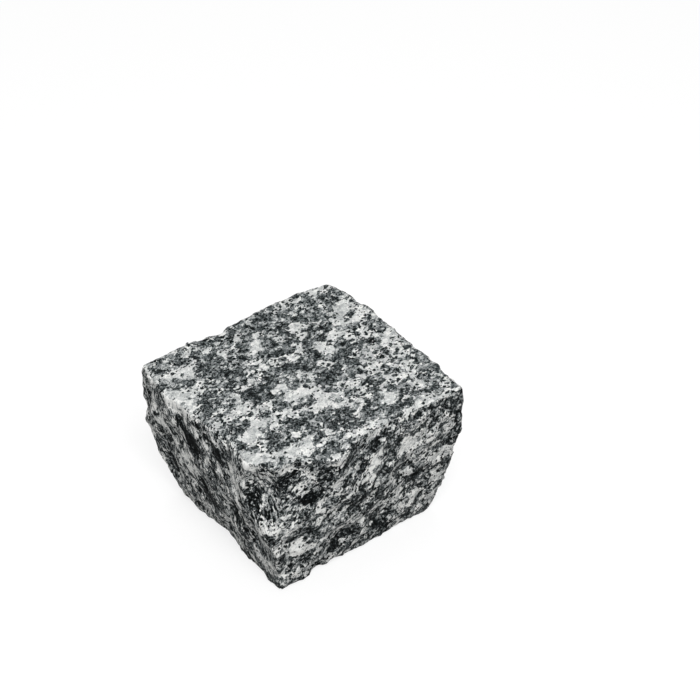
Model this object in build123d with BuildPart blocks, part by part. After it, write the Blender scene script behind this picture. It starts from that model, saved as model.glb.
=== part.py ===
from build123d import *
import os
from math import atan2, degrees
from typing import NamedTuple

# Granite sett: one paving block, sawn flat on top and split on its other five faces.
# Millimetres. X runs along the front face, Y towards the back face, Z up.
# Corners and sides are numbered anticlockwise seen from above. Side 0 is the front,
# from the front left corner to the front right one, then come right, back and left.
FRONT, RIGHT, BACK, LEFT = range(4)

# Sawn face, measured between its corners, and the height over the bed it stands on
sawn_length = 107.0
sawn_width = 97.0
height = 75.0

# How far each corner of the sawn face is out of square
corner_shifts = ((0.0, 2.5), (1.0, -2.0), (-2.0, 3.5), (-1.0, -1.5))

# Worn edges
sawn_arris = 0.8
bed_arris = 2.2

# Waves of the sawn outline: station along each side, and how far it stands out there.
# Both are shares of the side's length.
outline_waves = {
    FRONT: ((0.10, 0.022), (0.19, 0.054), (0.27, 0.084), (0.38, 0.058), (0.60, 0.021), (0.85, 0.005)),
    RIGHT: ((0.10, 0.002), (0.27, 0.013), (0.48, 0.020), (0.70, 0.030), (0.86, 0.018)),
    BACK: ((0.14, 0.009), (0.34, 0.013), (0.52, 0.006), (0.63, -0.009), (0.76, 0.008), (0.90, 0.005)),
    LEFT: ((0.11, 0.017), (0.26, 0.031), (0.44, 0.016), (0.60, 0.0), (0.73, -0.017), (0.90, -0.003)),
}


class SplitFacet(NamedTuple):
    """A flat cleaved off one side, running in under the sawn face."""

    side: int
    station: float
    drop_share: float
    bed_inset: float
    turn: float


# Two cleaved flats to a side. Each starts at that share of the height below the sawn
# face, has run in by its inset at the bed, and is turned by that many degrees about
# the upright.
split_facets = (
    SplitFacet(FRONT, 0.22, 0.82, 2.0, -1.0),
    SplitFacet(FRONT, 0.78, 0.40, 9.9, 7.0),
    SplitFacet(RIGHT, 0.25, 0.40, 7.7, -1.5),
    SplitFacet(RIGHT, 0.75, 0.44, 9.3, 2.5),
    SplitFacet(BACK, 0.30, 0.29, 8.9, -2.5),
    SplitFacet(BACK, 0.72, 0.45, 9.5, 2.0),
    SplitFacet(LEFT, 0.25, 0.50, 11.8, -1.5),
    SplitFacet(LEFT, 0.78, 0.32, 11.4, 1.0),
)


# Roundness of each upright arris above the flats, and how deep it is knocked off below
upright_radii = (2.5, 2.0, 4.0, 2.0)
knocked_depths = (1.0, 1.0, 1.8, 1.0)


class ArrisChip(NamedTuple):
    """A shell-shaped chip spalled off the sawn arris."""

    side: int
    station: float
    radius: float
    depth: float
    rise: float = 25.0


# Each chip's ball stands outwards of the arris and up from it by its rise in degrees
arris_chips = (
    ArrisChip(FRONT, 0.24, 40.0, 1.6, 60.0),
    ArrisChip(FRONT, 0.48, 14.0, 1.0),
    ArrisChip(FRONT, 0.70, 9.0, 0.8),
    ArrisChip(FRONT, 0.93, 8.0, 0.9),
    ArrisChip(RIGHT, 0.14, 8.0, 1.0),
    ArrisChip(RIGHT, 0.37, 9.0, 1.0),
    ArrisChip(RIGHT, 0.79, 13.0, 1.3),
    ArrisChip(BACK, 0.43, 8.0, 1.2),
    ArrisChip(BACK, 0.605, 11.0, 1.8),
    ArrisChip(BACK, 0.69, 9.0, 1.2),
    ArrisChip(LEFT, 0.52, 15.0, 1.2),
    ArrisChip(LEFT, 0.71, 12.0, 1.4),
    ArrisChip(LEFT, 0.86, 8.0, 0.9),
)


class Hollow(NamedTuple):
    """A shallow shell-shaped hollow in a cleaved flat."""

    facet: int
    along: float
    below: float
    radius: float
    depth: float


# The scoop split out of the front beside its left arris, and the scar of the flake that
# came off that arris. Both are balls, placed from the front left corner of the sawn face.
scoop_offset = (2.0, -70.3, -15.0)
scoop_radius = 70.0
scar_offset = (-14.0, -11.4, -16.5)
scar_radius = 28.0

# Hollows lie on the flat of that number, that far along it and below its start
hollows = (
    Hollow(1, -42.0, 49.0, 10.0, 2.8),
    Hollow(1, 6.0, 20.0, 60.0, 1.4),
    Hollow(2, -6.0, 22.0, 48.0, 2.0),
    Hollow(3, 4.0, 8.0, 40.0, 1.8),
    Hollow(4, -8.0, 30.0, 46.0, 2.2),
    Hollow(5, 10.0, 12.0, 38.0, 2.0),
    Hollow(6, -6.0, 10.0, 44.0, 1.8),
    Hollow(6, 24.0, 34.0, 60.0, 2.6),
    Hollow(7, 10.0, 26.0, 40.0, 2.2),
)

# Small flakes struck off each side: station along it, and how far below the sawn face,
# as a share of the height. Their sizes, each a radius and a depth, take turns.
flake_sizes = ((21.0, 1.1), (26.0, 1.4), (17.0, 1.0))
flake_places = {
    FRONT: (
        (0.28, 0.37), (0.41, 0.84), (0.15, 0.65), (0.52, 0.34), (0.37, 0.56), (0.56, 0.57),
        (0.71, 0.23), (0.73, 0.48), (0.86, 0.40), (0.80, 0.67), (0.64, 0.80),
    ),
    RIGHT: (
        (0.14, 0.32), (0.33, 0.21), (0.46, 0.42), (0.80, 0.34), (0.24, 0.63), (0.62, 0.62),
        (0.42, 0.82), (0.78, 0.80),
    ),
    BACK: (
        (0.15, 0.30), (0.33, 0.42), (0.55, 0.37), (0.77, 0.26), (0.17, 0.65), (0.45, 0.64),
        (0.71, 0.58), (0.58, 0.84),
    ),
    LEFT: (
        (0.17, 0.24), (0.33, 0.34), (0.50, 0.25), (0.65, 0.40), (0.20, 0.50), (0.32, 0.79),
        (0.63, 0.86), (0.74, 0.61),
    ),
}


def corner_point(corner):
    """Corner of the sawn face before it is worn, in plan."""
    sign_x = (-1, 1, 1, -1)[corner]
    sign_y = (-1, -1, 1, 1)[corner]
    return Vector(sign_x * sawn_length / 2, sign_y * sawn_width / 2) + corner_shifts[corner]


def chord(side):
    """Start of a side, its vector to the next corner, and its outward direction."""
    start = corner_point(side)
    along = corner_point((side + 1) % 4) - start
    return start, along, Vector(along.Y, -along.X).normalized()


def facet_plane(facet):
    """Plane of a cleaved flat, its normal outwards and its local Y up the face."""
    start, along, outward = chord(facet.side)
    rise = height * (1 - facet.drop_share)
    origin = start + along * facet.station + Vector(0, 0, rise)
    lean = degrees(atan2(facet.bed_inset, rise))
    normal = outward.rotate(Axis.Z, facet.turn).rotate(Axis((0, 0, 0), along), lean)
    return Plane(origin, x_dir=normal.cross(Vector(0, 0, -1)), z_dir=normal)


def knocked_plane(corner, depth):
    """Plane that knocks off the arris between the two flats that meet at a corner."""
    before = facet_plane([facet for facet in split_facets if facet.side == (corner - 1) % 4][-1])
    after = facet_plane([facet for facet in split_facets if facet.side == corner][0])
    normal = (before.z_dir + after.z_dir).normalized()
    return Plane(before.intersect(after).position - normal * depth, z_dir=normal)


with BuildPart() as sett:
    # The block under the wavy outline of the sawn face
    sawn_sides = []
    with BuildSketch():
        with BuildLine():
            for side in range(4):
                start, along, outward = chord(side)
                bulge = outward * along.length
                waves = outline_waves[side]
                between = [start + along * station + bulge * wave for station, wave in waves]
                sawn_sides.append(Spline(start, *between, start + along))
        make_face()
    extrude(amount=height)
    for corner, radius in enumerate(upright_radii):
        uprights = sett.edges().filter_by(Axis.Z)
        fillet(uprights.sort_by_distance(corner_point(corner))[0], radius)
    chamfer(sett.edges().group_by(Axis.Z)[-1], sawn_arris)

    # Cleaved flats, and the arrises between them
    for facet in split_facets:
        split(bisect_by=facet_plane(facet), keep=Keep.BOTTOM)
    for corner, depth in enumerate(knocked_depths):
        split(bisect_by=knocked_plane(corner, depth), keep=Keep.BOTTOM)
    fillet(sett.edges().group_by(Axis.Z)[0], bed_arris)

    # Scoop, scar and hollows
    struck_corner = corner_point(FRONT) + Vector(0, 0, height)
    with Locations(struck_corner + scoop_offset):
        Sphere(scoop_radius, mode=Mode.SUBTRACT)
    with Locations(struck_corner + scar_offset):
        Sphere(scar_radius, mode=Mode.SUBTRACT)
    for hollow in hollows:
        flat = facet_plane(split_facets[hollow.facet])
        lift = hollow.radius - hollow.depth
        with Locations(flat.from_local_coords((hollow.along, -hollow.below, lift))):
            Sphere(hollow.radius, mode=Mode.SUBTRACT)

    # Small flakes, each sunk where its line from outside first meets the stone
    flake_balls = []
    for side, places in flake_places.items():
        start, along, outward = chord(side)
        for index, (station, drop_share) in enumerate(places):
            radius, depth = flake_sizes[index % len(flake_sizes)]
            aim = start + along * station + Vector(0, 0, height * (1 - drop_share))
            line = Axis(aim + outward * height, -outward)
            struck_point = sett.part.find_intersection_points(line)[0][0]
            flake_balls.append((struck_point + outward * (radius - depth), radius))
    for centre, radius in flake_balls:
        with Locations(centre):
            Sphere(radius, mode=Mode.SUBTRACT)

    # Chips off the sawn arris
    for chip in arris_chips:
        arris_point = sawn_sides[chip.side].position_at(chip.station) + Vector(0, 0, height)
        away = chord(chip.side)[2].rotate(Axis((0, 0, 0), chord(chip.side)[1]), -chip.rise)
        with Locations(arris_point + away * (chip.radius - chip.depth)):
            Sphere(chip.radius, mode=Mode.SUBTRACT)

# Stand the sett on the origin, under the middle of its plan
plan_centre = sett.part.bounding_box().center()
sett.part.move(Location((-plan_centre.X, -plan_centre.Y, 0)))

sett.part.label = "granite_sett"
os.makedirs("parts", exist_ok=True)
export_step(sett.part, "parts/granite_sett.step")
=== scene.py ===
import logging
from dataclasses import dataclass
from enum import Enum

import bpy
import numpy as np
from mathutils import Matrix, Vector, kdtree, noise


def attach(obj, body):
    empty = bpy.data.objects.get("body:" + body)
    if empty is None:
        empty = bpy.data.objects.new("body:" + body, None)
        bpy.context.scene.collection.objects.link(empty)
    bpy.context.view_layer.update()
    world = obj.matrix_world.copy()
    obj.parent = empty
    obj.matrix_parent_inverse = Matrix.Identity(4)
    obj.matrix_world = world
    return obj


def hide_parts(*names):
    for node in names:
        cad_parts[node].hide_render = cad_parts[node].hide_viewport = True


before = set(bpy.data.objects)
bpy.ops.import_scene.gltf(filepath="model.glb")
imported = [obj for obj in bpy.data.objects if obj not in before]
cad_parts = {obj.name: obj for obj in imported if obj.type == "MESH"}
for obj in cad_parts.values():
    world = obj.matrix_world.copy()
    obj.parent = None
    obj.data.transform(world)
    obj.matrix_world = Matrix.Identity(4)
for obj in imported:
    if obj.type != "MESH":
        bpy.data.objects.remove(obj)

LOG = logging.getLogger("granite_sett")

MM = 0.001
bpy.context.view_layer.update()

# How far one seed of smooth noise lies from the next, in waves
SEED_STEP = np.array([17.3, 5.1, 11.7])

# Shares of a small flat's width: how far its middle strays, and where two flats blend
FLAT_STRAY = 0.48
FLAT_BLEND = 0.22

# A blotch above this height lies on the top. Below it, one whose X is smaller than its
# Y by more than the second value lies on the left face, and any other on the front.
TOP_FROM_MM = 73.0
LEFT_PAST_MM = 4.0


class Face(Enum):
    """The faces of the sett, by the outward direction of each."""

    TOP = (0.0, 0.0, 1.0)
    FRONT = (0.0, -1.0, 0.0)
    RIGHT = (1.0, 0.0, 0.0)
    BACK = (0.0, 1.0, 0.0)
    LEFT = (-1.0, 0.0, 0.0)
    BED = (0.0, 0.0, -1.0)


def linear_rgba(hex_value: str) -> tuple[float, float, float, float]:
    """Turn an sRGB hex colour into the linear colour that a shader takes.

    Args:
        hex_value: The colour as six hex digits with a leading hash.

    Returns:
        Linear red, green and blue, with an alpha of 1.
    """
    channels = [int(hex_value[i:i + 2], 16) / 255 for i in (1, 3, 5)]
    red, green, blue = [
        c / 12.92 if c <= 0.04045 else ((c + 0.055) / 1.055) ** 2.4 for c in channels
    ]
    return red, green, blue, 1.0


def add_node(
    tree: bpy.types.NodeTree,
    kind: str,
    settings: dict[str, object] | None = None,
    **sockets: object,
) -> bpy.types.Node:
    """Add a shader node with its settings, its values and its links.

    Args:
        tree: The node tree to add it to.
        kind: The node's type name.
        settings: Properties of the node itself.
        sockets: Inputs by name, spaces as underscores, or by place as i0, i1 and so
            on. An output socket is linked, and anything else is set as the value.

    Returns:
        The new node.
    """
    node = tree.nodes.new(kind)
    for name, value in (settings or {}).items():
        setattr(node, name, value)
    for name, value in sockets.items():
        by_place = name[0] == "i" and name[1:].isdigit()
        socket = node.inputs[int(name[1:]) if by_place else name.replace("_", " ")]
        if isinstance(value, bpy.types.NodeSocket):
            tree.links.new(value, socket)
        else:
            socket.default_value = value
    return node


def smoothstep(low: float, high: float, value: np.ndarray) -> np.ndarray:
    """Ease from 0 below low to 1 above high."""
    share = np.clip((value - low) / (high - low), 0.0, 1.0)
    return share * share * (3.0 - 2.0 * share)


def swell(points: np.ndarray, wave_mm: float, seed: int, octaves: int = 1) -> np.ndarray:
    """Smooth noise at each point, from about -1 to 1.

    Args:
        points: Positions in millimetres, one to a row.
        wave_mm: Distance from one bump to the next.
        seed: Shifts the pattern, so that two calls differ.
        octaves: How many layers, each half the size and half the strength of the last.

    Returns:
        One value to a point.
    """
    placed = points / wave_mm + SEED_STEP * (seed + 1)
    total = np.zeros(len(points))
    for octave in range(octaves):
        layer = placed * 2.0**octave
        total += np.array([noise.noise(place) for place in layer]) / 2.0**octave
    return total


def cleaved_flats(
    points: np.ndarray, cell_mm: float, tilt: float, step_mm: float, seed: int
) -> np.ndarray:
    """Relief of a broken surface: small flats, each with its own tilt and level.

    Args:
        points: Positions in millimetres, one to a row.
        cell_mm: Usual width of a flat.
        tilt: Steepest slope of a flat against the surface.
        step_mm: Largest step of a flat above or below the surface.
        seed: Seed of the draws.

    Returns:
        Height at each point, in millimetres.
    """
    draw = np.random.default_rng(seed)
    cells = np.unique(np.round(points / cell_mm).astype(int), axis=0)
    centres = (cells + draw.uniform(-FLAT_STRAY, FLAT_STRAY, cells.shape)) * cell_mm
    slopes = draw.uniform(-tilt, tilt, cells.shape)
    levels = draw.uniform(-step_mm, step_mm, len(cells))
    tree = kdtree.KDTree(len(centres))
    for index, centre in enumerate(centres):
        tree.insert(centre, index)
    tree.balance()
    nearest = [tree.find_n(point, 2) for point in points]
    first = np.array([pair[0][1] for pair in nearest])
    second = np.array([pair[1][1] for pair in nearest])
    gap = np.array([pair[1][2] - pair[0][2] for pair in nearest])
    heights = [
        levels[cell] + ((points - centres[cell]) * slopes[cell]).sum(axis=1)
        for cell in (first, second)
    ]
    own = 0.5 + 0.5 * smoothstep(0.0, FLAT_BLEND * cell_mm, gap)
    return own * heights[0] + (1.0 - own) * heights[1]


@dataclass(frozen=True)
class Lay:
    """How the stone lies on one face.

    Attributes:
        along: The direction that its parts are drawn out in.
        flats: How much longer than wide the cleaved flats are.
        crystals: How much longer than wide the crystals look.
        threads: How much longer than wide the fine threads look.
        fineness: How much smaller crystals look than on the flamed face, where
            flaming has run the smallest ones together.
        threading: How strongly the threads show, from 0 to 1.
    """

    along: tuple[float, float, float]
    flats: float = 1.4
    crystals: float = 1.2
    threads: float = 4.5
    fineness: float = 1.2
    threading: float = 0.15


LAYS = {
    Face.TOP: Lay((0.91, 0.42, 0.0), 1.3, 1.3, 2.0, 1.0, 0.0),
    Face.FRONT: Lay((0.74, 0.0, 0.67)),
    Face.RIGHT: Lay((0.0, 0.7, 0.7)),
    Face.BACK: Lay((0.74, 0.0, 0.67)),
    Face.LEFT: Lay((0.0, 0.45, 0.9), 2.0, 1.7, 6.0, 1.4, 0.9),
    Face.BED: Lay((0.91, 0.42, 0.0), 1.3, 1.3, 2.0, 1.1, 0.2),
}


@dataclass(frozen=True)
class Blotch:
    """A patch of lighter or darker mineral, or of painted shade.

    Attributes:
        middle: Where it lies, in millimetres.
        reach: How far it goes along the lay and across it, in millimetres.
        strength: From 1 for the palest to -1 for the darkest.
    """

    middle: tuple[float, float, float]
    reach: tuple[float, float]
    strength: float


BLOTCHES = (
    Blotch((-35.5, -20.3, 75.0), (12.0, 4.5), 1.0),
    Blotch((-8.7, -9.5, 75.0), (8.0, 5.5), 1.0),
    Blotch((1.6, -20.7, 75.0), (9.0, 6.0), 1.0),
    Blotch((-10.5, -0.8, 75.0), (9.0, 3.0), 0.8),
    Blotch((-3.2, 31.3, 75.0), (5.0, 4.0), 0.8),
    Blotch((44.4, 31.9, 75.0), (6.5, 5.0), 0.9),
    Blotch((33.8, 18.3, 75.0), (7.0, 3.5), 0.6),
    Blotch((23.7, -34.5, 75.0), (8.0, 5.5), 0.8),
    Blotch((33.4, -45.8, 75.0), (8.0, 4.0), 0.6),
    Blotch((-53.0, 17.0, 75.0), (7.0, 10.0), 1.0),
    Blotch((-51.7, 34.5, 75.0), (5.0, 6.0), 0.7),
    Blotch((-50.1, -35.6, 75.0), (6.0, 6.0), 0.8),
    Blotch((-36.5, -42.8, 75.0), (8.0, 5.0), 0.8),
    Blotch((-20.0, -42.1, 75.0), (8.0, 4.5), 0.6),
    Blotch((-18.2, -53.7, 72.0), (8.0, 3.5), 0.7),
    Blotch((-36.1, -4.5, 75.0), (6.0, 4.0), 0.5),
    Blotch((47.1, 2.4, 75.0), (6.0, 4.0), 0.5),
    Blotch((-24.6, 41.7, 75.0), (6.0, 4.0), 0.5),
    Blotch((28.0, 25.0, 75.0), (16.0, 2.0), -0.8),
    Blotch((11.7, 8.8, 75.0), (7.0, 4.0), -0.8),
    Blotch((0.2, 8.7, 75.0), (4.0, 3.5), -0.9),
    Blotch((27.0, 3.5, 75.0), (9.0, 3.0), -0.8),
    Blotch((24.7, -20.3, 75.0), (7.0, 3.0), -0.7),
    Blotch((-3.2, -33.7, 75.0), (8.0, 4.5), -0.8),
    Blotch((-17.2, -27.2, 75.0), (6.0, 4.0), -1.0),
    Blotch((-24.9, 1.5, 75.0), (7.0, 4.5), -0.8),
    Blotch((-26.5, -13.8, 75.0), (6.0, 2.5), -0.6),
    Blotch((-41.5, 5.6, 75.0), (5.5, 4.0), -0.6),
    Blotch((-31.0, 29.8, 75.0), (7.0, 5.0), -0.6),
    Blotch((12.2, -36.9, 75.0), (7.0, 4.0), -0.8),
    Blotch((30.7, -36.9, 75.0), (4.0, 3.0), -0.5),
    Blotch((23.1, -47.7, 57.4), (6.0, 5.0), 0.9),
    Blotch((6.7, -49.4, 54.3), (6.0, 4.0), 0.6),
    Blotch((-12.6, -52.3, 58.8), (5.0, 3.0), 0.6),
    Blotch((40.1, -48.6, 57.9), (5.0, 3.0), 0.4),
    Blotch((-38.0, -46.5, 42.5), (8.0, 6.0), 0.25),
    Blotch((-20.7, -47.8, 28.1), (5.0, 4.0), 0.5),
    Blotch((-34.4, -45.9, 24.9), (6.0, 5.0), 0.6),
    Blotch((-40.0, -45.0, 12.0), (6.0, 5.0), 0.5),
    Blotch((28.0, -42.0, 18.0), (7.0, 4.0), 0.6),
    Blotch((-11.9, -47.5, 33.3), (5.0, 4.0), 0.4),
    Blotch((7.1, -49.4, 66.1), (5.0, 4.0), -0.8),
    Blotch((-38.4, -46.2, 66.0), (7.0, 4.0), -0.8),
    Blotch((-21.6, -51.1, 62.9), (6.0, 4.0), -0.6),
    Blotch((-8.7, -51.4, 69.0), (8.0, 3.0), -0.5),
    Blotch((0.4, -49.2, 40.0), (6.0, 5.0), -0.9),
    Blotch((-27.7, -49.0, 52.0), (7.0, 4.5), -0.9),
    Blotch((34.3, -43.0, 34.3), (8.0, 5.0), -0.8),
    Blotch((15.0, -42.0, 12.0), (6.0, 5.0), -0.9),
    Blotch((-27.6, -47.9, 31.0), (5.0, 4.0), -0.5),
    Blotch((-10.6, -44.0, 14.0), (8.0, 5.0), -0.9),
    Blotch((-51.8, -25.5, 55.0), (12.0, 3.5), 0.65),
    Blotch((-55.2, 30.0, 57.0), (9.0, 5.0), 0.6),
    Blotch((-52.1, 14.5, 42.0), (10.0, 4.5), 0.5),
    Blotch((-45.0, 20.0, 18.0), (9.0, 3.0), 0.4),
    Blotch((-55.5, 13.9, 66.0), (6.0, 3.0), -0.5),
    Blotch((-53.8, 5.4, 59.2), (8.0, 5.5), -0.9),
    Blotch((-52.2, -12.8, 63.0), (7.0, 4.5), -0.8),
    Blotch((-48.2, 1.9, 27.0), (11.0, 6.0), -1.0),
    Blotch((-46.9, -20.2, 28.4), (10.0, 4.0), -0.6),
    # Painted shade: this dark blotch on the left face by the near corner stands for the shadow
    # inside the flake scar there, not for darker mineral
    Blotch((-48.5, -35.0, 54.0), (9.0, 4.0), -0.45),
)


@dataclass(frozen=True)
class Push:
    """A place where the split stone stands out or falls back a little.

    Attributes:
        middle: Where it lies, in millimetres.
        reach: How far from there it fades out, in millimetres.
        shift: How far it moves the stone at its middle, in millimetres.
    """

    middle: tuple[float, float, float]
    reach: float
    shift: tuple[float, float, float]


PUSHES = (
    Push((48.0, -43.5, 24.0), 24.0, (1.7, -1.4, 0.0)),
    Push((54.0, -46.0, 50.0), 14.0, (0.4, -0.3, 0.0)),
    Push((55.0, -49.0, 73.0), 9.0, (-0.2, 0.1, 0.0)),
    Push((45.0, -39.0, 6.0), 10.0, (0.3, -0.3, 0.0)),
    Push((38.0, -38.0, 2.0), 10.0, (0.0, -0.3, -0.1)),
    Push((30.0, -39.0, 2.0), 12.0, (0.0, 0.6, 0.2)),
    Push((8.0, -40.0, 1.0), 12.0, (0.0, -0.3, 0.0)),
    Push((-20.0, -44.0, 1.0), 6.0, (0.0, 3.1, 1.1)),
    Push((-29.0, -43.5, 1.0), 7.0, (0.0, -1.1, 0.0)),
    Push((-39.0, -43.5, 2.0), 9.0, (-0.4, -0.9, 0.0)),
    Push((-43.0, -37.0, 3.0), 9.0, (-1.1, -0.3, 0.0)),
    Push((-41.5, -10.0, 3.0), 12.0, (1.0, 0.0, 0.3)),
    Push((-40.5, 4.0, 3.0), 9.0, (0.8, 0.0, 0.2)),
    Push((-44.0, 16.0, 7.0), 10.0, (1.8, 0.0, 0.4)),
    Push((-43.5, 30.0, 3.0), 10.0, (0.2, 0.0, 0.0)),
    Push((-46.0, 36.0, 13.0), 9.0, (-0.6, 0.5, 0.0)),
    Push((-48.0, 41.0, 24.0), 14.0, (-0.5, 0.7, 0.0)),
    Push((-54.0, 42.0, 42.0), 10.0, (-0.3, 0.2, 0.0)),
    Push((-54.0, 47.0, 50.0), 9.0, (1.1, -0.9, 0.0)),
    Push((-55.0, 43.0, 62.0), 14.0, (0.2, -0.1, 0.0)),
    Push((-56.0, 46.0, 75.0), 9.0, (-0.4, 0.4, 0.2)),
    Push((-22.0, 53.0, 75.0), 8.0, (0.0, 0.6, 0.0)),
    Push((-9.0, 49.0, 75.0), 8.0, (0.0, 0.7, 0.0)),
    Push((22.0, 50.0, 75.0), 24.0, (0.0, 0.9, 0.0)),
    Push((51.0, 42.0, 75.0), 10.0, (0.5, 0.2, 0.0)),
    Push((53.0, 25.0, 74.0), 8.0, (1.4, 0.0, 0.0)),
    Push((52.0, 12.0, 74.0), 16.0, (-0.5, 0.0, 0.0)),
    Push((-14.0, -53.0, 76.0), 13.0, (-0.3, -1.6, -2.4)),
    Push((-26.0, -50.0, 76.0), 12.0, (0.0, -0.9, -1.2)),
)


@dataclass(frozen=True)
class Swell:
    """One layer of smooth relief.

    Attributes:
        height_mm: How high and how deep it goes.
        wave_mm: Distance from one bump to the next.
        seed: Sets it apart from the other layers.
        octaves: How many sizes of bump it has, each half the last.
    """

    height_mm: float
    wave_mm: float
    seed: int
    octaves: int = 1

    def share(self, points: np.ndarray) -> np.ndarray:
        """Give the layer at each point as a share of its height."""
        return swell(points, self.wave_mm, self.seed, self.octaves)

    def height(self, points: np.ndarray) -> np.ndarray:
        """Give the layer's height at each point, in millimetres."""
        return self.height_mm * self.share(points)


@dataclass(frozen=True)
class Flats:
    """One layer of small cleaved flats.

    Attributes:
        width_mm: Usual width of a flat.
        tilt: Steepest slope of a flat against the surface.
        step_mm: Largest step of a flat above or below the surface.
        seed: Sets it apart from the other layers.
    """

    width_mm: float
    tilt: float
    step_mm: float
    seed: int

    def height(self, points: np.ndarray) -> np.ndarray:
        """Give the layer's height at each point, in millimetres."""
        return cleaved_flats(points, self.width_mm, self.tilt, self.step_mm, self.seed)


@dataclass
class SettStone:
    """The block of granite, carved finer from its CAD solid and dressed.

    Attributes:
        node: The CAD node that the block stands for.
        body: The body that it rides on.
        slot: The slot of its material. Not used.
        voxel_mm: Spacing of the even grid that is carved.
        wear_rounds: How many times the grid's edges are worn.
        wear_share: How far a point goes to its neighbours' middle in one round.
        face_turn: How far upright a normal is where a side starts to give way to the
            top or the bed, and where it has.
        side_swell: Broad swell of the split faces.
        large_flats: Larger flats of the split faces.
        small_flats: Smaller ones, between the larger.
        side_grain: Grain of the split faces.
        top_swell: Broad swell of the flamed face.
        top_grain: Grain of the flamed face.
        flame_pits: Pits where flaming has burst grains out, as deep as its height.
        pit_share: Where on that layer's waves a pit starts, and where it is deepest.
        bed_grain: Relief of the bed.
        bed_sink: How far the bed lies inside the ground, as a share of its relief.
        arris_crumbs: Crumbs gone from the arris of the top.
        arris_loss: How much is gone from it everywhere, as a share of a crumb.
        struck_corner_mm: Where the blow fell that split the block.
        torn_reach_mm: How far from there the stone is torn most, and how far at all.
        torn_threading: How strongly threads show where it is torn most.
        stray_mm: How far the border of a blotch strays.
        stray_wave_mm: Distance from one bend of that border to the next.
        stray_seeds: One seed to an axis.
        blotch_edge: Shares of a blotch's reach where it starts to fade and is gone.
    """

    node: str = "granite_sett"
    body: str = "root"
    slot: str = "granite"
    voxel_mm: float = 0.78
    wear_rounds: int = 6
    wear_share: float = 0.6
    face_turn: tuple[float, float] = (0.55, 0.95)
    side_swell: Swell = Swell(0.4, 24.0, 1, 2)
    large_flats: Flats = Flats(8.0, 0.13, 0.27, 3)
    small_flats: Flats = Flats(3.4, 0.18, 0.162, 4)
    side_grain: Swell = Swell(0.24, 2.2, 5, 2)
    top_swell: Swell = Swell(0.16, 14.0, 6)
    top_grain: Swell = Swell(0.14, 2.4, 7, 2)
    flame_pits: Swell = Swell(0.35, 3.4, 8)
    pit_share: tuple[float, float] = (0.42, 0.7)
    bed_grain: Swell = Swell(0.35, 9.0, 9, 3)
    bed_sink: float = 0.8
    arris_crumbs: Swell = Swell(0.7, 4.0, 10, 2)
    arris_loss: float = 0.1
    struck_corner_mm: tuple[float, float, float] = (-50.0, -42.0, 55.0)
    torn_reach_mm: tuple[float, float] = (12.0, 50.0)
    torn_threading: float = 0.9
    stray_mm: float = 3.0
    stray_wave_mm: float = 7.0
    stray_seeds: tuple[int, int, int] = (21, 22, 23)
    blotch_edge: tuple[float, float] = (0.45, 1.25)

    def carve(self) -> bpy.types.Object:
        """Cut the split and flamed relief into an even copy of the CAD solid.

        Returns:
            The finished block.
        """
        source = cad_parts[self.node]
        rough = bpy.data.objects.new("sett_rough", source.data.copy())
        bpy.context.scene.collection.objects.link(rough)
        remesh = rough.modifiers.new("even_grid", "REMESH")
        remesh.mode = "VOXEL"
        remesh.voxel_size = self.voxel_mm * MM
        evaluated = rough.evaluated_get(bpy.context.evaluated_depsgraph_get())
        mesh = bpy.data.meshes.new_from_object(evaluated)
        bpy.data.objects.remove(rough)
        mesh.name = "sett_stone"
        places = self.worn(mesh)
        for push in PUSHES:
            distance = np.linalg.norm(places - np.array(push.middle), axis=1)
            share = 1.0 - smoothstep(0.0, push.reach, distance)
            places += share[:, None] * np.array(push.shift)
        self.settle(mesh, places)
        lays = self.corner_lays(mesh)
        self.relief(mesh, places)
        self.colour_fields(mesh, places, lays)
        stone = bpy.data.objects.new("sett_stone", mesh)
        bpy.context.scene.collection.objects.link(stone)
        mesh.shade_smooth()
        return stone

    def worn(self, mesh: bpy.types.Mesh) -> np.ndarray:
        """Wear the sharp edges of the grid by moving each point towards its neighbours.

        Args:
            mesh: The even mesh, which is left as it is.

        Returns:
            The worn points in millimetres.
        """
        places = np.empty(len(mesh.vertices) * 3)
        mesh.vertices.foreach_get("co", places)
        places = places.reshape(-1, 3) / MM
        edges = np.empty(len(mesh.edges) * 2, dtype=int)
        mesh.edges.foreach_get("vertices", edges)
        one, other = edges.reshape(-1, 2).T
        count = np.bincount(edges, minlength=len(places))
        for _ in range(self.wear_rounds):
            for axis in range(3):
                line = places[:, axis]
                total = np.bincount(one, line[other], len(line))
                total += np.bincount(other, line[one], len(line))
                places[:, axis] += self.wear_share * (total / count - line)
        return places

    @staticmethod
    def settle(mesh: bpy.types.Mesh, places: np.ndarray) -> None:
        """Put the points in millimetres into the mesh, none of them below the ground."""
        places[:, 2] = np.maximum(places[:, 2], 0.0)
        mesh.vertices.foreach_set("co", (places * MM).ravel())
        mesh.update()

    def relief(self, mesh: bpy.types.Mesh, places: np.ndarray) -> None:
        """Move the grid's points in and out, and note how far each one went.

        Args:
            mesh: The worn mesh.
            places: Its points in millimetres.
        """
        normals = np.empty(len(mesh.vertices) * 3)
        mesh.vertex_normals.foreach_get("vector", normals)
        normals = normals.reshape(-1, 3)
        flats = self.drawn_out(places, self.lays_at(normals), "flats")
        top = smoothstep(*self.face_turn, normals[:, 2])
        bed = smoothstep(*self.face_turn, -normals[:, 2])
        side = 1.0 - top - bed

        split = (
            self.side_swell.height(places)
            + self.large_flats.height(flats)
            + self.small_flats.height(flats)
            + self.side_grain.height(flats)
        )
        pits = smoothstep(*self.pit_share, self.flame_pits.share(flats))
        flamed = (
            self.top_swell.height(places)
            + self.top_grain.height(flats)
            - self.flame_pits.height_mm * pits
        )
        rough_bed = self.bed_grain.height_mm * (self.bed_grain.share(places) - self.bed_sink)
        height = side * split + top * flamed + bed * rough_bed

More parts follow.
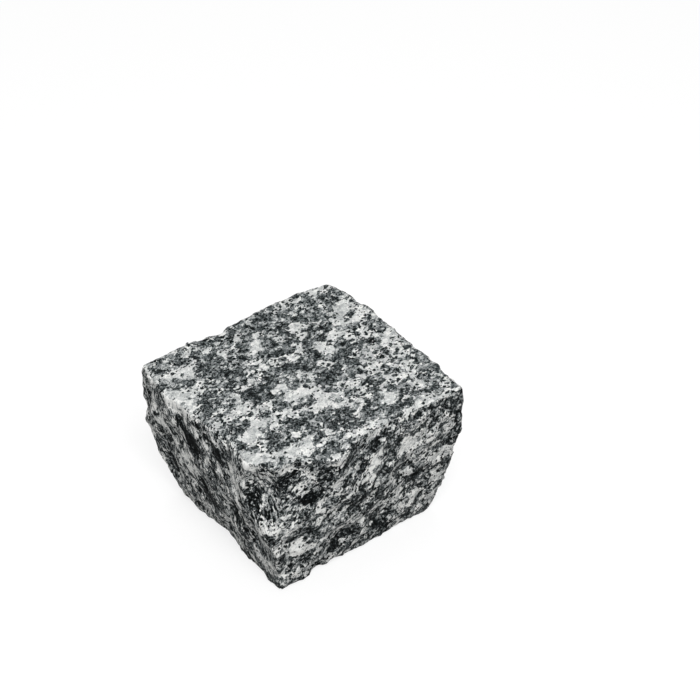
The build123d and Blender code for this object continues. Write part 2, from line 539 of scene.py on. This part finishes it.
        # The arris of the top, from 0 off it to 1 halfway between top and side
        arris = 4.0 * np.clip(top * (1.0 - top), 0.0, 0.25)
        crumbs = self.arris_loss + np.maximum(0.0, self.arris_crumbs.share(places))
        height -= arris * self.arris_crumbs.height_mm * crumbs
        places += normals * height[:, None]
        self.settle(mesh, places)
        self.field(mesh, "side", side)
        # How far each point went, which the finish also uses to paint shade into the split faces
        self.field(mesh, "relief", height)

    def corner_lays(self, mesh: bpy.types.Mesh) -> np.ndarray:
        """Find the lay at each face corner, one lay to a face, before the relief.

        Args:
            mesh: The worn mesh.

        Returns:
            The place in LAYS for each corner.
        """
        facing = np.empty(len(mesh.polygons) * 3)
        mesh.polygon_normals.foreach_get("vector", facing)
        sizes = np.empty(len(mesh.polygons), dtype=int)
        mesh.polygons.foreach_get("loop_total", sizes)
        return np.repeat(self.lays_at(facing.reshape(-1, 3)), sizes)

    def colour_fields(self, mesh: bpy.types.Mesh, places: np.ndarray, lays: np.ndarray) -> None:
        """Give the mesh the fields that colour it.

        Args:
            mesh: The finished mesh.
            places: Its points in millimetres.
            lays: The lay at each face corner.
        """
        corners = np.empty(len(mesh.loops), dtype=int)
        mesh.loops.foreach_get("vertex_index", corners)
        fineness = np.array([lay.fineness for lay in LAYS.values()])[lays]
        for name in ("crystals", "threads"):
            drawn = self.drawn_out(places[corners], lays, name) * fineness[:, None]
            self.field(mesh, name, drawn, "CORNER")

        # The blow at the struck corner has torn the split faces round it
        threading = np.array([lay.threading for lay in LAYS.values()])[lays]
        reach = np.linalg.norm(places[corners] - np.array(self.struck_corner_mm), axis=1)
        torn = self.torn_threading * (1.0 - smoothstep(*self.torn_reach_mm, reach))
        threading = np.where(threading > 0.0, np.maximum(threading, torn), 0.0)
        self.field(mesh, "threading", threading, "CORNER")
        self.field(mesh, "blotch", self.blotches(places))

    @staticmethod
    def lays_at(normals: np.ndarray) -> np.ndarray:
        """Find which of the lays each outward direction belongs to, by its place in LAYS."""
        return np.array([normals @ np.array(face.value) for face in LAYS]).argmax(axis=0)

    @staticmethod
    def drawn_out(places: np.ndarray, lays: np.ndarray, part: str) -> np.ndarray:
        """Squeeze positions along the lay, so that a pattern on them is drawn out.

        Args:
            places: Positions in millimetres.
            lays: Which lay holds at each.
            part: The part of the stone to draw out: flats, crystals or threads.

        Returns:
            The squeezed positions.
        """
        squeezed = places.copy()
        for index, lay in enumerate(LAYS.values()):
            here = lays == index
            along = np.array(lay.along) / np.linalg.norm(lay.along)
            shrink = 1.0 - 1.0 / getattr(lay, part)
            squeezed[here] -= shrink * np.outer(places[here] @ along, along)
        return squeezed

    def blotches(self, places: np.ndarray) -> np.ndarray:
        """Add up the blotches at each point.

        Args:
            places: Positions in millimetres.

        Returns:
            One value to a point, from -1 for dark to 1 for pale.
        """
        stray = self.stray_mm * np.stack(
            [swell(places, self.stray_wave_mm, seed, 2) for seed in self.stray_seeds], axis=1
        )
        total = np.zeros(len(places))
        for blotch in BLOTCHES:
            middle = np.array(blotch.middle)
            offset = places + stray - middle
            lay = self.lay_at(middle)
            lengthwise = offset @ lay
            across = np.linalg.norm(offset - np.outer(lengthwise, lay), axis=1)
            reach = np.sqrt((lengthwise / blotch.reach[0]) ** 2 + (across / blotch.reach[1]) ** 2)
            total += blotch.strength * (1.0 - smoothstep(*self.blotch_edge, reach))
        return np.clip(total, -1.0, 1.0)

    @staticmethod
    def lay_at(middle: np.ndarray) -> np.ndarray:
        """Find the direction of the lay on the face that a blotch lies on.

        Args:
            middle: The middle of the blotch, in millimetres.

        Returns:
            The direction, of length 1.
        """
        if middle[2] > TOP_FROM_MM:
            face = Face.TOP
        else:
            face = Face.LEFT if middle[0] < middle[1] - LEFT_PAST_MM else Face.FRONT
        along = np.array(LAYS[face].along)
        return along / np.linalg.norm(along)

    @staticmethod
    def field(mesh: bpy.types.Mesh, name: str, values: np.ndarray, domain: str = "POINT") -> None:
        """Store one value or one vector to each point or face corner of the mesh.

        Args:
            mesh: The mesh that gets the field.
            name: What the finish calls it.
            values: One value or one row to a point or corner.
            domain: POINT or CORNER.
        """
        kind = "FLOAT" if values.ndim == 1 else "FLOAT_VECTOR"
        attribute = mesh.attributes.new(name, kind, domain)
        attribute.data.foreach_set("value" if values.ndim == 1 else "vector", values.ravel())

    def build(self) -> bpy.types.Object:
        """Carve the stone, dress it, hang it on its body and hide the CAD part.

        Returns:
            The dressed block.
        """
        stone = self.carve()
        stone.data.materials.clear()
        stone.data.materials.append(GneissGranite().material())
        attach(stone, self.body)
        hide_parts(self.node)
        return stone


@dataclass(frozen=True)
class StonePattern:
    """Parts of a stone's pattern, drawn into one material's node tree."""

    tree: bpy.types.NodeTree

    def crystals(self, place: bpy.types.NodeSocket, size_mm: float) -> bpy.types.NodeOutputs:
        """Pack crystals of one size, with three random draws for each.

        Args:
            place: Positions in millimetres.
            size_mm: Usual width of a crystal.

        Returns:
            The draws, from 0 to 1, as the outputs Red, Green and Blue.
        """
        cells = add_node(self.tree, "ShaderNodeTexVoronoi", Vector=place, Scale=1 / size_mm)
        draws = add_node(self.tree, "ShaderNodeSeparateColor", Color=cells.outputs["Color"])
        return draws.outputs

    def ragged(
        self, place: bpy.types.NodeSocket, size_mm: float, reach_mm: float
    ) -> bpy.types.NodeSocket:
        """Let positions wander, so that the borders of crystals come out ragged.

        Args:
            place: Positions in millimetres.
            size_mm: Distance from one tooth of the border to the next.
            reach_mm: How far a tooth stands out.

        Returns:
            The wandering positions.
        """
        drift = add_node(self.tree, "ShaderNodeTexNoise", Vector=place, Scale=1 / size_mm,
                         Detail=1.0, Roughness=0.6).outputs["Color"]
        drift = add_node(self.tree, "ShaderNodeVectorMath", {"operation": "SUBTRACT"},
                         i0=drift, i1=(0.5, 0.5, 0.5)).outputs[0]
        return add_node(self.tree, "ShaderNodeVectorMath", {"operation": "MULTIPLY_ADD"},
                        i0=drift, i1=(2 * reach_mm,) * 3, i2=place).outputs[0]

    def mixed(
        self, middle: float | bpy.types.NodeSocket, *draws: tuple[bpy.types.NodeSocket, float]
    ) -> bpy.types.NodeSocket:
        """Let draws from 0 to 1 move a tone up and down from its middle.

        Args:
            middle: The tone where every draw is a half.
            draws: Each draw, and how far the tone moves from its lowest to its highest.

        Returns:
            The mixed tone.
        """
        tone = middle
        for draw, spread in draws:
            centred = add_node(self.tree, "ShaderNodeMath", {"operation": "SUBTRACT"},
                               i0=draw, i1=0.5).outputs[0]
            tone = add_node(self.tree, "ShaderNodeMath", {"operation": "MULTIPLY_ADD"},
                            i0=centred, i1=spread, i2=tone).outputs[0]
        return tone


@dataclass(frozen=True)
class GneissGranite:
    """Granite with a faint gneissic lay, flamed on top and split on its sides.

    White feldspar, grey quartz and black mica in grains of 1 to 3 mm. Flaming and
    splitting both leave broken crystal, so it has no polish, and what the eye gets is
    salt and pepper, with mica that gathers in dark clots and feldspar in pale ones. On
    the split faces the grains are torn into threads along the lay.

    Real specks, grit and torn threads go down to 0.1 mm. The photograph has about half
    a millimetre to the pixel, so here they are drawn no finer than that.

    Attributes:
        quartz_ior: Typical of quartz and close to that of feldspar.
        specular_level: Low, because broken crystal scatters nearly all of its gloss.
        roughness: Of the broken crystal.
        feldspar_mm: Width of the largest crystals, which show pale.
        quartz_mm: Width of the crystals of quartz, and of the flakes of mica.
        grain_mm: Width of the small grains between them.
        speck_mm: Width of the specks in all of these.
        grit_mm: Width of the finest grit.
        thread_mm: Width of a torn thread.
        clot_mm: Distance from one clot to the next.
        clot_spread: How far clots move the zones.
        blotch_weight: How far the listed blotches move the zones.
        large_teeth_mm: Spacing and reach of the large teeth on crystal borders.
        small_teeth_mm: The same for the small teeth on them.
        close_teeth_mm: The same for the teeth of small grains.
        thread_teeth_mm: The same for threads.
        pale_edge: Draws at which dark ground gives way to pale feldspar.
        mica_edge: Draws at which stone gives way to mica.
        shut_in_share: Share of small grains in the feldspar that are dark.
        dot_share: Share of specks that are black.
        shut_in_tone: Tone of the dark grains in the feldspar.
        dot_tone: Tone of the black specks.
        bump_strength: Strength of the grain that is too fine for the mesh.
        bump_mm: Height of that grain.
        stops: Colours by tone, from black mica to white feldspar.
    """

    quartz_ior: float = 1.54
    specular_level: float = 0.03
    roughness: float = 0.72
    feldspar_mm: float = 4.2
    quartz_mm: float = 2.1
    grain_mm: float = 1.1
    speck_mm: float = 0.6
    grit_mm: float = 0.5
    thread_mm: float = 0.65
    clot_mm: float = 9.0
    clot_spread: float = 1.15
    blotch_weight: float = 0.85
    large_teeth_mm: tuple[float, float] = (3.0, 1.3)
    small_teeth_mm: tuple[float, float] = (1.1, 0.6)
    close_teeth_mm: tuple[float, float] = (0.9, 0.35)
    thread_teeth_mm: tuple[float, float] = (1.4, 0.4)
    pale_edge: tuple[float, float] = (0.61, 0.69)
    mica_edge: tuple[float, float] = (0.85, 0.88)
    shut_in_share: float = 0.09
    dot_share: float = 0.06
    shut_in_tone: float = 0.16
    dot_tone: float = 0.02
    bump_strength: float = 0.6
    bump_mm: float = 0.4
    stops: tuple[tuple[float, str], ...] = (
        (0.0, "#070909"),
        (0.18, "#262b2c"),
        (0.36, "#595e5f"),
        (0.54, "#8b8f8f"),
        (0.74, "#c0c2c1"),
        (0.96, "#e9e9e6"),
    )

    def material(self) -> bpy.types.Material:
        """Build the node material.

        Returns:
            The material, which reads the fields of the sett's mesh.
        """
        material = bpy.data.materials.new("flamed_and_split_granite")
        material.use_nodes = True
        tree = material.node_tree
        tree.nodes.clear()
        stone = StonePattern(tree)
        lay, threads, threading, side, relief, blotch = [
            add_node(tree, "ShaderNodeAttribute", {"attribute_name": name}).outputs[output]
            for name, output in (
                ("crystals", "Vector"), ("threads", "Vector"), ("threading", "Fac"),
                ("side", "Fac"), ("relief", "Fac"), ("blotch", "Fac"),
            )
        ]
        place = add_node(tree, "ShaderNodeTexCoord").outputs["Object"]
        place = add_node(tree, "ShaderNodeVectorMath", {"operation": "SCALE"}, i0=place,
                         Scale=1 / MM).outputs[0]

        # Crystals of four sizes, with the borders of the larger ones more ragged
        ragged = stone.ragged(lay, *self.large_teeth_mm)
        ragged = stone.ragged(ragged, *self.small_teeth_mm)
        close = stone.ragged(lay, *self.close_teeth_mm)
        feldspar = stone.crystals(ragged, self.feldspar_mm)
        quartz = stone.crystals(ragged, self.quartz_mm)
        crystal = stone.crystals(close, self.grain_mm)
        speck = stone.crystals(close, self.speck_mm)
        thread = stone.crystals(stone.ragged(threads, *self.thread_teeth_mm), self.thread_mm)
        grit = add_node(tree, "ShaderNodeTexNoise", Vector=lay, Scale=1 / self.grit_mm,
                        Detail=1.0, Roughness=0.6).outputs["Fac"]

        # Dark zones about 0 and pale ones about 1
        clot = add_node(tree, "ShaderNodeTexNoise", Vector=place, Scale=1 / self.clot_mm,
                        Detail=2.0, Roughness=0.55).outputs["Fac"]
        zone = stone.mixed(0.5, (clot, self.clot_spread))
        zone = add_node(tree, "ShaderNodeMath", {"operation": "MULTIPLY_ADD"},
                        i0=blotch, i1=self.blotch_weight, i2=zone).outputs[0]

        # The dark ground: small grains of quartz, mica and feldspar, mixed
        ground = stone.mixed(0.37, (quartz["Red"], 0.44), (crystal["Red"], 0.46),
                             (speck["Red"], 0.34), (zone, 0.14))
        # Pale feldspar, with a few dark grains shut in
        pale = stone.mixed(0.76, (quartz["Green"], 0.24), (crystal["Green"], 0.14),
                           (speck["Green"], 0.12))
        shut_in = stone.mixed(crystal["Blue"], (zone, 0.10))
        shut_in = add_node(tree, "ShaderNodeMath", {"operation": "LESS_THAN"},
                           i0=shut_in, i1=self.shut_in_share).outputs[0]
        pale = add_node(tree, "ShaderNodeMix", {"data_type": "FLOAT"},
                        Factor=shut_in, A=pale, B=self.shut_in_tone).outputs["Result"]
        is_pale = stone.mixed(feldspar["Red"], (zone, 0.55), (crystal["Green"], 0.10))
        is_pale = add_node(tree, "ShaderNodeMapRange", {"interpolation_type": "SMOOTHSTEP"},
                           Value=is_pale, From_Min=self.pale_edge[0],
                           From_Max=self.pale_edge[1]).outputs["Result"]
        tone = add_node(tree, "ShaderNodeMix", {"data_type": "FLOAT"},
                        Factor=is_pale, A=ground, B=pale).outputs["Result"]
        # Mica in black flakes, most of it in the dark zones
        mica = stone.mixed(0.20, (speck["Blue"], 0.50))
        is_mica = stone.mixed(quartz["Blue"], (zone, -0.24), (crystal["Red"], 0.16))
        is_mica = add_node(tree, "ShaderNodeMapRange", {"interpolation_type": "SMOOTHSTEP"},
                           Value=is_mica, From_Min=self.mica_edge[0],
                           From_Max=self.mica_edge[1]).outputs["Result"]
        tone = add_node(tree, "ShaderNodeMix", {"data_type": "FLOAT"},
                        Factor=is_mica, A=tone, B=mica).outputs["Result"]
        is_dot = stone.mixed(speck["Blue"], (zone, 0.10))
        is_dot = add_node(tree, "ShaderNodeMath", {"operation": "LESS_THAN"},
                          i0=is_dot, i1=self.dot_share).outputs[0]
        tone = add_node(tree, "ShaderNodeMix", {"data_type": "FLOAT"},
                        Factor=is_dot, A=tone, B=self.dot_tone).outputs["Result"]
        tone = stone.mixed(tone, (grit, 0.45))

        # Threads torn along the lay. On the split faces the tone is spread wider, partly for
        # their fresh broken crystal and partly as painted shade in their pits and painted glint
        # on their facets
        torn = stone.mixed(0.02, (thread["Red"], 0.50), (zone, 0.24))
        tone = add_node(tree, "ShaderNodeMath", {"operation": "MULTIPLY_ADD"},
                        i0=torn, i1=threading, i2=tone).outputs[0]
        spread_and_painted_shade = stone.mixed(-0.03, (tone, 0.35), (zone, 0.06))
        # Painted shade of the relief: where the relief sank a point it comes out darker, and
        # where it raised one, lighter
        spread_and_painted_shade = add_node(tree, "ShaderNodeMath", {"operation": "ADD"}, i0=spread_and_painted_shade,
                            i1=stone.mixed(0.05, (relief, 0.10))).outputs[0]
        tone = add_node(tree, "ShaderNodeMath", {"operation": "MULTIPLY_ADD"},
                        i0=spread_and_painted_shade, i1=side, i2=tone).outputs[0]
        ramp = add_node(tree, "ShaderNodeValToRGB", Fac=tone)
        elements = ramp.color_ramp.elements
        while len(elements) < len(self.stops):
            elements.new(0.5)
        for element, (position, colour) in zip(elements, self.stops, strict=True):
            element.position = position
            element.color = linear_rgba(colour)

        height = stone.mixed(0.5, (grit, 0.5), (crystal["Green"], 0.5))
        bump = add_node(tree, "ShaderNodeBump", Strength=self.bump_strength,
                        Distance=self.bump_mm * MM, Height=height)
        shader = add_node(tree, "ShaderNodeBsdfPrincipled", Base_Color=ramp.outputs["Color"],
                          Roughness=self.roughness, IOR=self.quartz_ior,
                          Specular_IOR_Level=self.specular_level, Normal=bump.outputs[0])
        add_node(tree, "ShaderNodeOutputMaterial", Surface=shader.outputs[0])
        return material


def seen_directly(tree: bpy.types.NodeTree) -> bpy.types.NodeSocket:
    """Tell the rays that see the studio itself from those that only carry its light.

    Args:
        tree: The node tree that asks.

    Returns:
        1 for a ray from the camera, or one mirrored or let through on its way, else 0.
    """
    path = add_node(tree, "ShaderNodeLightPath")
    seen = path.outputs["Is Camera Ray"]
    for kind in ("Is Glossy Ray", "Is Transmission Ray"):
        seen = add_node(tree, "ShaderNodeMath", {"operation": "MAXIMUM"}, i0=seen,
                        i1=path.outputs[kind]).outputs[0]
    return seen


@dataclass(frozen=True)
class StudioPaper:
    """Matt seamless paper: no gloss, near white to the camera, with the stone's shadow.

    Attributes:
        bounce: Its colour as the stone's light meets it.
        shadow: Its colour as the camera sees it, under the glow.
        glow: The even white that the camera sees on top of that colour.
    """

    bounce: str = "#b4b4b4"
    shadow: str = "#8e8e8e"
    glow: float = 0.75

    def material(self) -> bpy.types.Material:
        """Build the node material.

        Returns:
            The material of the floor.
        """
        material = bpy.data.materials.new("pale_studio_paper")
        material.use_nodes = True
        tree = material.node_tree
        tree.nodes.clear()
        plain = add_node(tree, "ShaderNodeBsdfDiffuse", Color=linear_rgba(self.bounce))
        shade = add_node(tree, "ShaderNodeBsdfDiffuse", Color=linear_rgba(self.shadow))
        glow = add_node(tree, "ShaderNodeEmission", Color=(1, 1, 1, 1), Strength=self.glow)
        shown = add_node(tree, "ShaderNodeAddShader", i0=shade.outputs[0], i1=glow.outputs[0])
        mix = add_node(tree, "ShaderNodeMixShader", i0=seen_directly(tree),
                       i1=plain.outputs[0], i2=shown.outputs[0])
        add_node(tree, "ShaderNodeOutputMaterial", Surface=mix.outputs[0])
        return material


@dataclass(frozen=True)
class SoftLamp:
    """One square soft lamp that points at the sett.

    Attributes:
        name: What to call it.
        place: Where it hangs, in metres.
        size: Width of the square, in metres.
        watts: Its power.
        aim: What it points at, in metres.
    """

    name: str
    place: tuple[float, float, float]
    size: float
    watts: float
    aim: tuple[float, float, float] = (0.0, 0.0, 0.04)

    def hang(self) -> None:
        """Hang the lamp in the scene."""
        data = bpy.data.lights.new(self.name, "AREA")
        data.shape = "SQUARE"
        data.size = self.size
        data.energy = self.watts
        lamp = bpy.data.objects.new(self.name, data)
        beam = Vector(self.aim) - Vector(self.place)
        turn = beam.to_track_quat("-Z", "Y").to_matrix().to_4x4()
        lamp.matrix_world = Matrix.Translation(self.place) @ turn
        bpy.context.scene.collection.objects.link(lamp)


@dataclass
class Studio:
    """Pale floor, soft lamps and the camera.

    Attributes:
        floor_size: Width of the floor, in metres.
        air_light: Strength of the even light all round.
        lamps: The soft lamps.
        camera_place_mm: Where the camera stands, in millimetres.
        camera_back: The direction from what it looks at to the camera.
        lens_mm: Focal length, for the sensor's width.
        sensor_mm: Width of the sensor.
        near_clip: Nearest thing that it sees, in metres.
    """

    floor_size: float = 6.0
    air_light: float = 0.34
    lamps: tuple[SoftLamp, ...] = (
        SoftLamp("key", (-0.35, -0.74, 1.15), 0.6, 15.0),
        SoftLamp("overhead", (0.15, 0.35, 1.2), 0.9, 4.0),
    )
    camera_place_mm: tuple[float, float, float] = (-430.15, -648.41, 673.72)
    camera_back: tuple[float, float, float] = (-0.46086, -0.65367, 0.60026)
    lens_mm: float = 113.14
    sensor_mm: float = 36.0
    near_clip: float = 0.01

    def floor(self) -> None:
        """Lay the floor."""
        mesh = bpy.data.meshes.new("studio_floor")
        half = self.floor_size / 2
        corners = [(-half, -half, 0.0), (half, -half, 0.0), (half, half, 0.0), (-half, half, 0.0)]
        mesh.from_pydata(corners, [], [(0, 1, 2, 3)])
        floor = bpy.data.objects.new("studio_floor", mesh)
        bpy.context.scene.collection.objects.link(floor)
        mesh.materials.append(StudioPaper().material())

    def world(self) -> None:
        """Set dim even light all round, white where the camera sees it."""
        world = bpy.data.worlds.new("studio")
        bpy.context.scene.world = world
        world.use_nodes = True
        tree = world.node_tree
        tree.nodes.clear()
        shown = add_node(tree, "ShaderNodeBackground", Color=(1, 1, 1, 1), Strength=1.0)
        lit = add_node(tree, "ShaderNodeBackground", Color=(1, 1, 1, 1), Strength=self.air_light)
        mix = add_node(tree, "ShaderNodeMixShader", i0=seen_directly(tree),
                       i1=lit.outputs[0], i2=shown.outputs[0])
        add_node(tree, "ShaderNodeOutputWorld", Surface=mix.outputs[0])

    def camera(self) -> None:
        """Set the camera where the photograph was taken from."""
        data = bpy.data.cameras.new("camera")
        data.sensor_width = self.sensor_mm
        data.lens = self.lens_mm
        data.clip_start = self.near_clip
        camera = bpy.data.objects.new("camera", data)
        back = Vector(self.camera_back).normalized()
        turn = back.to_track_quat("Z", "Y").to_matrix().to_4x4()
        camera.matrix_world = Matrix.Translation(Vector(self.camera_place_mm) * MM) @ turn
        bpy.context.scene.collection.objects.link(camera)
        bpy.context.scene.camera = camera

    def build(self) -> None:
        """Set up the whole studio."""
        self.floor()
        self.world()
        for lamp in self.lamps:
            lamp.hang()
        self.camera()
        bpy.context.scene.view_settings.view_transform = "Standard"


def main() -> None:
    """Build the stone and the studio, and log the count of the stone's faces."""
    stone = SettStone().build()
    LOG.info("%s: %d faces", stone.name, len(stone.data.polygons))
    Studio().build()
    LOG.info("studio: floor, world, lamps and camera")
    bpy.context.view_layer.update()


if __name__ == "__main__":
    logging.basicConfig(level=logging.INFO)
    main()
